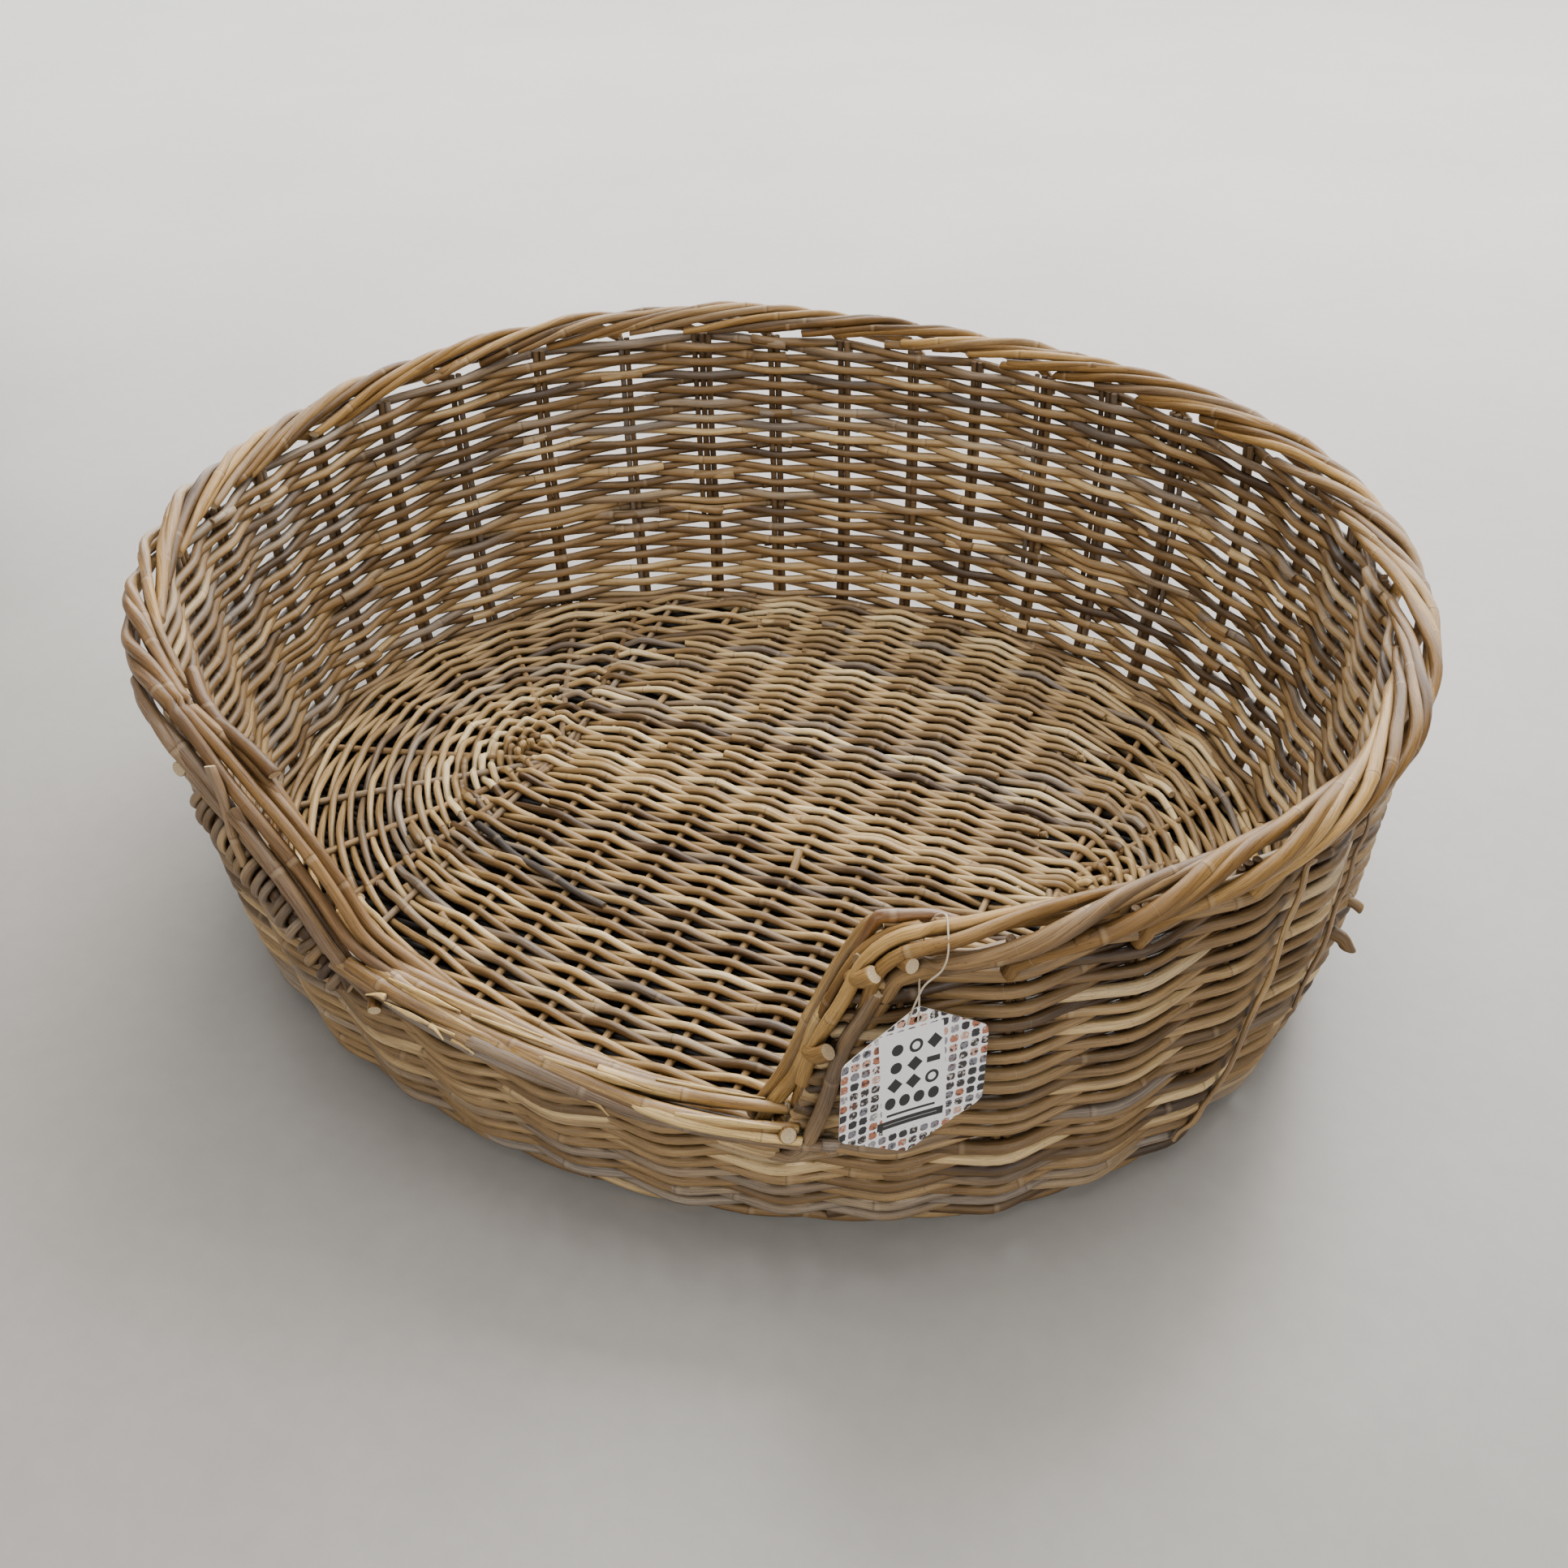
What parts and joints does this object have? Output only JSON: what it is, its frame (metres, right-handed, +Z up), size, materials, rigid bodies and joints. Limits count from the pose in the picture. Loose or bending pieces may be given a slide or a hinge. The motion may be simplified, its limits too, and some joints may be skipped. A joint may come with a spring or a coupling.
{
  "type": "pet bed basket",
  "caption": "Oval woven cane pet bed with a flared, bellied wall, a thick laid rim, a cut-away front entrance with a low lip, and a paper hang tag on a string.",
  "frame": {"origin": "on the floor, at the centre of the basket's bounding box seen from above, without the hang tag", "axes": "+Z up, +X along the long side, -Y towards the entrance"},
  "size_m": [0.8588, 0.7776, 0.2724],
  "materials": {
    "cane_weave": "satin natural cane, brown grey",
    "cane_border": "satin natural cane, a little lighter and shinier",
    "cane_stake": "matte dark cane",
    "cane_floor": "satin pale cane",
    "tag_card": "matte printed card",
    "tag_cord": "thin natural fibre string"
  },
  "bodies": {
    "basket": {"foot_border": "cane_border", "base_sticks": "cane_stake", "base_weave": "cane_floor", "wall_weave_lower": "cane_weave", "wall_weave_upper": "cane_weave", "stake_pair_01": "cane_stake", "stake_pair_02": "cane_stake", "stake_pair_03": "cane_stake", "stake_pair_04": "cane_stake", "stake_pair_05": "cane_stake", "stake_pair_06": "cane_stake", "stake_pair_07": "cane_stake", "stake_pair_08": "cane_stake", "stake_pair_09": "cane_stake", "stake_pair_10": "cane_stake", "stake_pair_11": "cane_stake", "stake_pair_12": "cane_stake", "stake_pair_13": "cane_stake", "stake_pair_14": "cane_stake", "stake_pair_15": "cane_stake", "stake_pair_16": "cane_stake", "stake_pair_17": "cane_stake", "stake_pair_18": "cane_stake", "stake_pair_19": "cane_stake", "stake_pair_20": "cane_stake", "stake_pair_21": "cane_stake", "stake_pair_22": "cane_stake", "stake_pair_23": "cane_stake", "stake_pair_24": "cane_stake", "stake_pair_25": "cane_stake", "stake_pair_26": "cane_stake", "stake_pair_27": "cane_stake", "stake_pair_28": "cane_stake", "stake_pair_29": "cane_stake", "stake_pair_30": "cane_stake", "stake_pair_31": "cane_stake", "stake_pair_32": "cane_stake", "stake_pair_33": "cane_stake", "stake_pair_34": "cane_stake", "stake_pair_35": "cane_stake", "stake_pair_36": "cane_stake", "stake_pair_37": "cane_stake", "rim_rod_1": "cane_border", "rim_rod_2": "cane_border", "rim_rod_3": "cane_border", "lip_rod_outer": "cane_border", "lip_rod_inner": "cane_border", "lip_rod_top": "cane_border", "gate_post_left_outer": "cane_border", "gate_post_left_inner": "cane_border", "gate_post_right_outer": "cane_border", "gate_post_right_inner": "cane_border", "rod_end_left": "cane_border", "rod_end_right_top": "cane_border", "rod_end_right_mid": "cane_border", "rod_end_right_low": "cane_border"},
    "tag": {"hang_tag": "tag_card", "tag_string": "tag_cord"}
  },
  "joints": [
    {"name": "tag_swing", "type": "hinge", "parent": "basket", "child": "tag", "pos_m": [0.2274, -0.3425, 0.251], "axis": [-0.8673, -0.4978, 0], "range_deg": [0, 90]}
  ]
}
